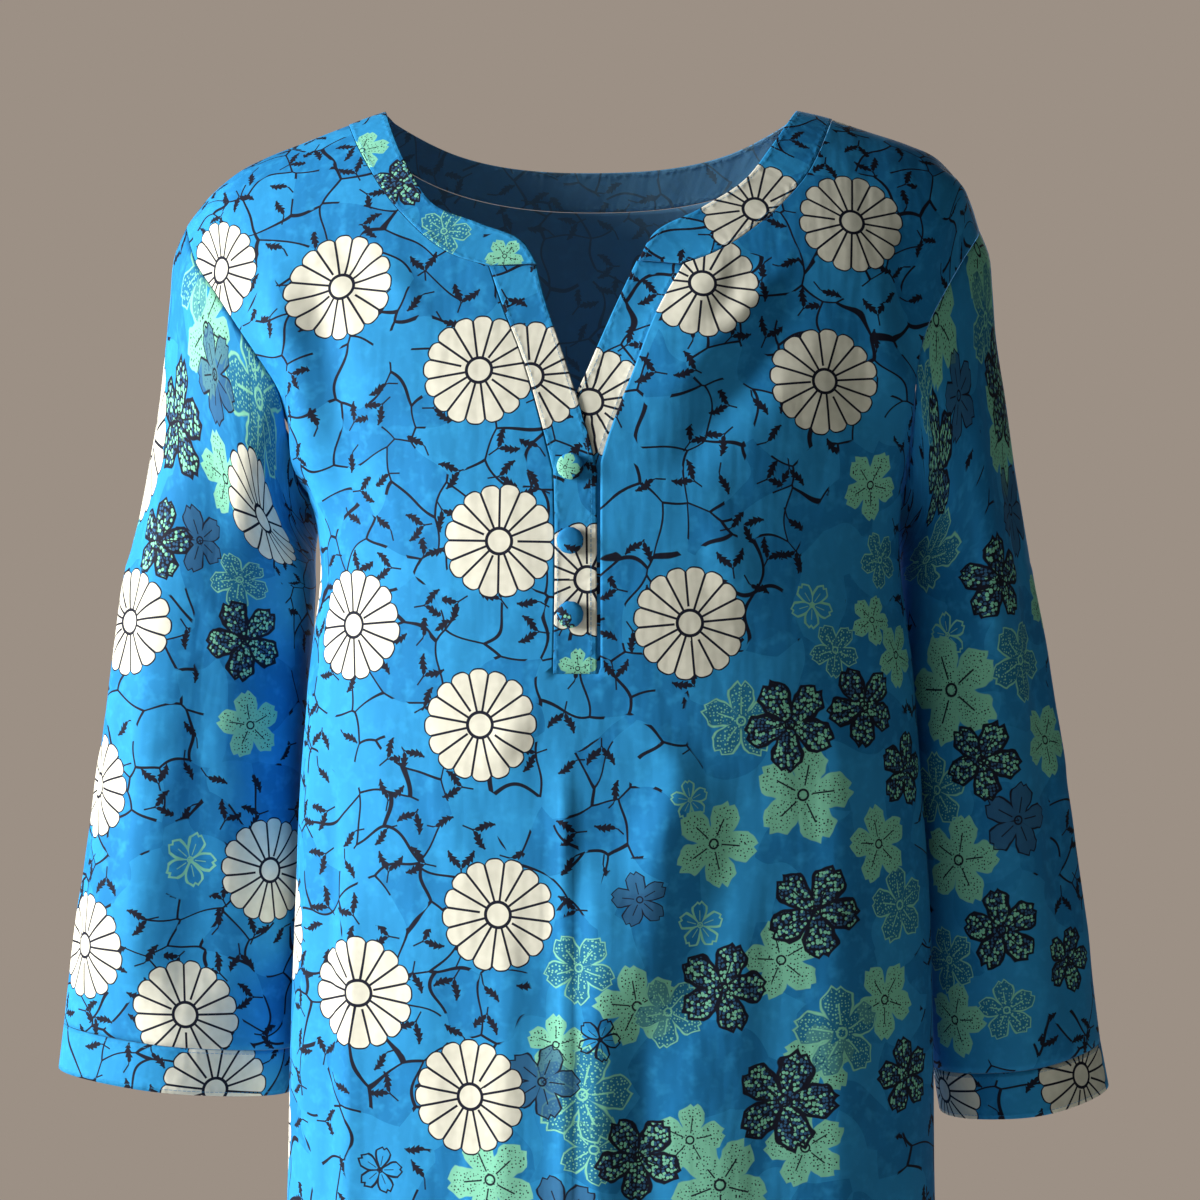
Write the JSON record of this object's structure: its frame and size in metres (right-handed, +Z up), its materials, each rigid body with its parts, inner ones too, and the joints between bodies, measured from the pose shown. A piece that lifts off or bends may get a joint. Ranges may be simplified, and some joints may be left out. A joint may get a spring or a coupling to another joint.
{
  "type": "v-neck dress",
  "caption": "Worn v-neck tunic dress with set-in three-quarter sleeves, cuff bands, a shaped neck band and a short buttoned placket, hollow and open at neck, cuffs and hem.",
  "frame": {"origin": "midway between the two points where the neck opening meets the shoulders, at their height", "axes": "+Z up, -Y towards the front of the dress, +X to the right in the front view"},
  "size_m": [0.6394, 0.2536, 0.9461],
  "materials": {
    "cloth": "printed plain-weave cotton, matt",
    "band_cloth": "printed plain-weave cotton, matt",
    "button_cloth": "cotton stretched over a button"
  },
  "bodies": {
    "root": {"front_panel": "cloth", "back_panel": "cloth", "sleeve_left": "cloth", "sleeve_right": "cloth", "cuff_left": "band_cloth", "cuff_right": "band_cloth", "neck_band_left": "band_cloth", "neck_band_right": "band_cloth", "neck_band_back": "band_cloth", "placket_over": "band_cloth", "placket_under": "band_cloth", "button_top": "button_cloth", "button_middle": "button_cloth", "button_bottom": "button_cloth"}
  },
  "joints": []
}
